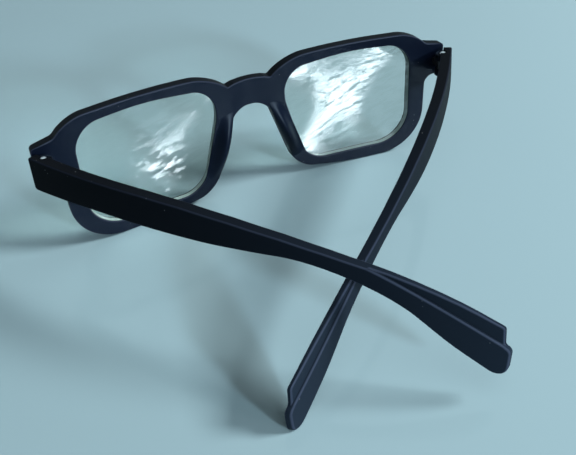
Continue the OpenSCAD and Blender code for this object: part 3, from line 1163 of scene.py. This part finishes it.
@dataclass
class Temple:
    """One temple: a bowed blade with knuckles at the hinge, a neck and a stepped paddle."""

    front: FrontFrame
    side: Side
    finish: bpy.types.Material
    fold: float
    cock: float = 1.75
    lean: float = 3.0
    length: float = 131.6
    knee_run: float = 57.2
    knee_lag: float = 6.8
    knee_fall: float = 2.0
    paddle_len: float = 19.6
    height: float = 10.2
    bend_drop: float = 16.4
    neck_back: float = 15.6
    neck_h: float = 4.1
    neck_round: float = 3.5
    tip_h: float = 17.5
    tip_drop: float = 46.6
    thickness: float = 3.8
    tip_t: float = 2.3
    bow_r: float = 260.0
    step_d: float = 0.8
    step_back: float = 1.9
    step_lean: float = 0.4
    strip_h: float = 5.7
    strip_back: float = 16.0
    strip_rise: float = 4.9
    strip_sag: float = 3.0
    strip_cuts: int = 10
    top: float = -1.4
    root_rise: float = 0.5
    knuckle_r: float = 2.6
    knuckle_ease: float = 0.35
    stack: tuple[float, float, float, float] = (-9.6, -7.3, -4.0, -1.7)
    slot_reach: float = 2.2
    skin: float = 1.3
    lug_r: float = 2.05
    shank_r: float = 0.72
    head_r: float = 1.18
    head_h: float = 0.7
    edge_w: float = 0.4
    step_w: float = 0.55
    least_polish: float = 0.2
    strip: float = 3.0

    def __post_init__(self) -> None:
        """Works out the stations, the inner bow and the placement, folded as it rests."""
        self.inset, self.lead = self.front.hinge_inset, self.front.hinge_lead
        self.run_bend = self.length - self.paddle_len
        self.run_step = self.length - self.step_back
        self.low = self.top - self.height
        self.bend_h = self.top - self.bend_drop
        self.tip_low = self.top - self.tip_drop
        self.tip_top = self.tip_low + self.tip_h
        thinning = self.length**2 / 2
        self.inner_r = thinning / (thinning / self.bow_r - self.thickness + self.tip_t)
        self.notch = (self.run_step + self.step_lean, self.tip_top - self.strip_h)
        folded = Matrix.Rotation(math.radians(self.fold), 4, "Z")
        hinged = self.side.mirror @ Matrix.Translation(self.front.hinge) @ folded
        self.placement = self.front.stand @ hinged

    def corners(self) -> list[Corner]:
        """Outline seen from the outer side.

        Returns:
            Its corners, clockwise: hinge end, knee, bend, step, paddle's end, belly, neck and underside.
        """
        knee_top, knee_z = self.knee_run + self.knee_lag, self.top - self.knee_fall
        slope = (knee_z - self.bend_h) / (self.run_bend - knee_top)
        run_neck = self.run_bend - self.neck_back
        neck_low = knee_z - (run_neck - knee_top) * slope - self.neck_h + self.neck_round
        return [
            (-self.lead, self.top + self.root_rise, 0.8),
            (knee_top, knee_z, 200.0),
            (self.run_bend, self.bend_h, 85.0),
            (self.run_step, self.tip_top, 1.6),
            (*self.notch, 2.0),
            (self.length + 0.2, self.notch[1] - 1.4, 3.0),
            (self.length + 0.1, self.tip_low + 4.8, 8.0),
            (self.length - 0.6, self.tip_low + 0.1, 2.8),
            (self.length - 13.5, self.tip_low + 11.9, 80.0),
            (run_neck, neck_low, 48.0),
            (self.knee_run, self.low - 1.6, 20.0),
            (22.0, self.low, 150.0),
            (-self.lead, self.low, 1.3),
        ]

    def part_strip(self, blank: Blank, depth: float) -> None:
        """Parts the upper strip of the paddle from the rest of the outline, and marks it.

        Args:
            blank: the temple's blank.
            depth: level of its face.
        """
        apex = Vector((depth, self.run_bend - self.strip_back, self.bend_h + self.strip_rise))
        foot = Vector((depth, *self.notch))
        start = min(blank.bm.verts, key=lambda vert: (vert.co - apex).length)
        end = min(blank.bm.verts, key=lambda vert: (vert.co - foot).length)
        handle = Vector((depth, self.run_bend, self.bend_h - self.strip_sag))
        path = [
            start.co * (1 - share) ** 2 + handle * 2 * share * (1 - share) + end.co * share**2
            for share in (step / self.strip_cuts for step in range(1, self.strip_cuts))
        ]
        bmesh.utils.face_split(blank.bm.faces[:][0], start, end, coords=path)
        strip = min(blank.bm.faces, key=lambda face: face.calc_area())
        strip.material_index = 1

    def bowed(self, point: Vector) -> Vector:
        """Bends a point of the flat blade to the bow of its faces.

        Args:
            point: X through, Y along and Z up the blade.

        Returns:
            The point in the temple's frame.
        """
        outer = self.inset - self.bow_r + math.sqrt(self.bow_r**2 - point.y**2)
        inner = self.inset - self.thickness - self.inner_r + math.sqrt(self.inner_r**2 - point.y**2)
        if point.x > self.thickness / 2:
            return Vector((outer - (self.thickness - point.x), point.y, point.z))
        return Vector((inner + point.x, point.y, point.z))

    def blade(self) -> BMesh:
        """The bowed blade with its stepped paddle, in the temple's frame.

        Returns:
            The new mesh.
        """
        blank = Blank(Facing.SIDEWAYS)
        axis_depth = self.thickness - self.inset
        step_depth = self.thickness - self.step_d
        blank.cut(self.corners(), axis_depth)
        self.part_strip(blank, axis_depth)
        # One cut at the hinge axis, because the blade has only its outer part ahead of it
        blank.slice(1, 0.0, 0.0, 1.0)
        raised = blank.thicken(blank.bm.faces[:], step_depth)
        blank.thicken([face for face in raised if face.material_index == 0], self.thickness)
        inside = [
            face
            for face in blank.bm.faces
            if all(abs(vert.co.x - axis_depth) < WELD for vert in face.verts)
        ]
        blank.thicken([face for face in inside if face.calc_center_median().y > 0], 0.0)
        for face in blank.bm.faces:
            face.material_index = 0
        for level, width in ((0.0, self.edge_w), (step_depth, self.step_w), (self.thickness, self.step_w)):
            blank.ease(level, width)
        blank.slice(1, 0.0, self.length, self.strip)
        # Painted light: a share that grows towards the tip lightens the paddle and strengthens its painted
        # edge highlight
        handled = blank.bm.verts.layers.float.new(PAINTED_LIGHT_SHARE)
        for vert in blank.bm.verts:
            vert[handled] = max(0.0, vert.co.y / self.length) ** 2
            vert[blank.polish] *= self.least_polish + (1 - self.least_polish) * vert[handled]
        blank.bend(self.bowed)
        return blank.bm

    def build(self) -> bpy.types.Object:
        """Builds and dresses the temple.

        Returns:
            The finished piece.
        """
        blade = self.blade()
        set_on = Matrix.Rotation(math.radians(self.side.value * self.cock), 4, "X")
        set_on = set_on @ Matrix.Rotation(math.radians(-self.lean), 4, "Y")
        bmesh.ops.transform(blade, matrix=set_on, verts=blade.verts[:])
        low, slot_low, slot_top, high = self.stack
        far = 4 * self.lead
        slot_end = Vector((self.inset - self.skin, self.slot_reach, slot_top))
        blade = combine(
            blade,
            [
                (drum(self.knuckle_r, low, slot_low, self.knuckle_ease), Shaping.JOIN),
                (drum(self.knuckle_r, slot_top, high, self.knuckle_ease), Shaping.JOIN),
                (block(Vector((-far, -far, slot_low)), slot_end), Shaping.CUT),
                (drum(self.lug_r, slot_low, slot_top), Shaping.CUT),
                (drum(self.shank_r, low - far, high), Shaping.CUT),
                (drum(self.head_r, high - self.head_h, high + far), Shaping.CUT),
            ],
        )
        side, body = self.side.label, f"{self.side.label}_temple"
        return set_down(f"{side}_arm", blade, self.placement, (self.finish,), body, body)


@dataclass
class HingeScrew:
    """One hinge screw with a domed, slotted head."""

    temple: Temple
    finish: bpy.types.Material
    shank_r: float = 0.7
    head_r: float = 1.15
    dome_r: float = 1.5
    dome_rows: int = 32
    proud: float = 0.6
    slot_w: float = 0.3
    slot_d: float = 0.2

    def build(self) -> bpy.types.Object:
        """Builds and dresses the screw.

        Returns:
            The finished piece.
        """
        low, _, _, seat = self.temple.stack
        neck = seat - self.temple.head_h
        high = seat + self.proud
        far, half = self.head_r * 2, self.slot_w / 2
        slot = block(Vector((-far, -half, high - self.slot_d)), Vector((far, half, high + self.slot_d)))
        shank = drum(self.shank_r, low, neck + self.slot_d)
        dome = bmesh.new()
        bmesh.ops.create_uvsphere(
            dome,
            u_segments=ROUND_FACETS,
            v_segments=self.dome_rows,
            radius=self.dome_r,
            matrix=Matrix.Translation((0, 0, high - self.dome_r)),
        )
        tools = [(dome, Shaping.KEEP), (shank, Shaping.JOIN), (slot, Shaping.CUT)]
        screw = combine(drum(self.head_r, neck, high), tools)
        side, placement = self.temple.side.label, self.temple.placement
        node = f"{side}_hinge_screw"
        return set_down(
            f"{side}_screw", screw, placement, (self.finish,), f"{side}_temple", node
        )


@dataclass
class Fittings:
    """The leaves, rivets, washers and core wires, which keep their solids."""

    steel: bpy.types.Material
    nylon: bpy.types.Material

    def dress(self) -> None:
        """Gives every solid a finish, also the hidden ones that new pieces stand for."""
        for name, node in frame["nodes"].items():
            node.data.materials.clear()
            node.data.materials.append(self.nylon if name.endswith("_washer") else self.steel)


@dataclass(frozen=True)
class Lamp:
    """One soft lamp that looks at the object."""

    name: str
    place: Triple
    size: tuple[float, float]
    power: float
    tone: Colour
    in_mirrors: bool = True

    def hang(self) -> None:
        """Hangs the lamp."""
        light = bpy.data.lights.new(self.name, "AREA")
        light.shape = "RECTANGLE"
        light.size, light.size_y = self.size
        light.energy = self.power
        light.color = self.tone
        lamp = show(self.name, light)
        place = Vector(self.place)
        lamp.matrix_world = Matrix.Translation(place) @ (-place).to_track_quat("-Z", "Y").to_matrix().to_4x4()
        lamp.visible_camera = False
        lamp.visible_glossy = self.in_mirrors


@dataclass
class Studio:
    """The pale table, the soft lamps and the world round them."""

    table: bpy.types.Material
    reach: float = 4.0
    ambient: Colour = (0.80, 0.90, 0.95)
    ambient_level: float = 0.06
    backdrop: Colour = (0.42, 0.55, 0.60)
    lamps: tuple[Lamp, ...] = (
        Lamp("overhead", (0.10, 0.35, 1.10), (0.8, 0.8), 3.2, (0.96, 1.0, 0.99)),
        Lamp("side_window", (-0.85, 0.30, 0.76), (0.30, 0.30), 16.5, (0.98, 1.0, 0.99), in_mirrors=False),
        Lamp("rear_window", (-1.27, 3.47, 1.43), (0.43, 0.34), 104.0, (0.80, 0.92, 1.0)),
    )

    def build(self) -> None:
        """Lays the table, hangs the lamps and sets the world."""
        self._lay_table()
        for lamp in self.lamps:
            lamp.hang()
        self._set_world()

    def _lay_table(self) -> None:
        """Lays the table top, which isn't part of the object."""
        bm = bmesh.new()
        bmesh.ops.create_grid(bm, x_segments=1, y_segments=1, size=self.reach)
        table = show("table_top", settle("table_top", bm))
        table.data.materials.append(self.table)

    def _set_world(self) -> None:
        """Sets a faint ambient light, and a pale backdrop for what is seen, mirrored or seen through."""
        world = bpy.data.worlds.new("room")
        bpy.context.scene.world = world
        graph = Graph(world)
        ambient, backdrop = (
            graph.node("ShaderNodeBackground", sockets={"Color": (*tone, 1.0), "Strength": level})
            for tone, level in ((self.ambient, self.ambient_level), (self.backdrop, 1.0))
        )
        seen, mirror, through = (
            graph.node("ShaderNodeLightPath", output=f"Is {ray} Ray")
            for ray in ("Camera", "Glossy", "Transmission")
        )
        mix = {0: seen + mirror + through, 1: ambient, 2: backdrop}
        graph.surface(graph.node("ShaderNodeMixShader", sockets=mix))


@dataclass
class Portrait:
    """The camera at the photograph's viewing angle."""

    place: Triple = (0.0817, 0.1407, 0.1730)
    turn: Triple = (46.97, -0.21, 154.13)
    image_w: int = 576
    focal_px: float = 750.0
    sensor_w: float = 36.0
    clip_near: float = 0.01

    def build(self) -> None:
        """Makes the camera and gives it to the scene."""
        lens = bpy.data.cameras.new("portrait")
        lens.sensor_fit = "HORIZONTAL"
        lens.sensor_width = self.sensor_w
        lens.lens = self.focal_px / self.image_w * self.sensor_w
        lens.clip_start = self.clip_near
        camera = show("portrait", lens)
        turn = Euler([math.radians(angle) for angle in self.turn], "XYZ")
        camera.matrix_world = Matrix.Translation(self.place) @ turn.to_matrix().to_4x4()
        bpy.context.scene.camera = camera


# The edge colours below are painted highlights on the rounded edges
SLATE = SatinAcetate(
    "slate_acetate",
    body=(0.0018, 0.0038, 0.0110),
    cloud=(0.0028, 0.0054, 0.0140),
    edge=(0.0180, 0.0230, 0.0400),
    sheen=0.15,
    roughness=0.36,
)
BLACK = SatinAcetate(
    "black_acetate",
    body=(0.0022, 0.0027, 0.0042),
    cloud=(0.0032, 0.0038, 0.0056),
    edge=(0.0360, 0.0490, 0.0800),
    # Painted light: the lighter tone of the paddles
    faded=(0.0128, 0.0206, 0.0335),
    sheen=0.03,
    roughness=0.46,
)
# Painted shade: a darker acetate for the front's top and side faces
PAINTED_SHADE_CORE = SatinAcetate(
    "dark_core_acetate",
    body=(0.0016, 0.0022, 0.0040),
    cloud=(0.0024, 0.0032, 0.0056),
    edge=(0.0060, 0.0080, 0.0120),
    sheen=0.04,
    roughness=0.40,
)
CLEAR = {
    Side.LEFT: CoatedLens("left_coated_lens", (0.0272, -0.0530, 0.0280), bare=0.40, fade=13.0, gloss=0.10),
    Side.RIGHT: CoatedLens("right_coated_lens", (-0.0330, -0.0530, 0.0270), bare=0.42, fade=2.0, gloss=0.15),
}
LENS_EDGE = GroundEdge("ground_lens_edge", body=(0.16, 0.22, 0.22), worn=(0.21, 0.28, 0.28))
LEAF_STEEL = TurnedSteel("dark_leaf_steel", (0.10, 0.10, 0.11), (0.06, 0.06, 0.065), 0.35)
SCREW_STEEL = TurnedSteel("bright_screw_steel", (0.90, 0.91, 0.92), (0.74, 0.75, 0.77), 0.28)
NYLON = MouldedNylon("washer_nylon", body=(0.010, 0.011, 0.013), bloom=(0.018, 0.019, 0.022))
TABLE = GlossyTable("pale_table", body=(0.282, 0.412, 0.462), shade=(0.267, 0.392, 0.440))
# Degrees from straight back at rest
FOLDS = {Side.LEFT: 29.4, Side.RIGHT: 36.9}


def main() -> None:
    """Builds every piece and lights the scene."""
    logging.basicConfig(level=logging.INFO, format="%(name)s: %(message)s")
    bpy.context.scene.view_settings.view_transform = "Standard"
    # core is the darker acetate that paints shade on the front's top and side faces
    slate, core, black, ground, screw_steel = (
        finish.make() for finish in (SLATE, PAINTED_SHADE_CORE, BLACK, LENS_EDGE, SCREW_STEEL)
    )
    front = FrontFrame(slate, core)
    pieces = [front.build()]
    for side in Side:
        pieces.append(Lens(front, side, CLEAR[side].make(), ground).build())
        pieces.append(NosePad(front, side, slate).build())
    for side in Side:
        temple = Temple(front, side, black, FOLDS[side])
        pieces.append(temple.build())
        pieces.append(HingeScrew(temple, screw_steel).build())
    for piece in pieces:
        log.info("%s: %d faces", piece.name, len(piece.data.polygons))
    Fittings(LEAF_STEEL.make(), NYLON.make()).dress()
    Studio(TABLE.make()).build()
    Portrait().build()
    bpy.context.view_layer.update()


if __name__ == "__main__":
    main()
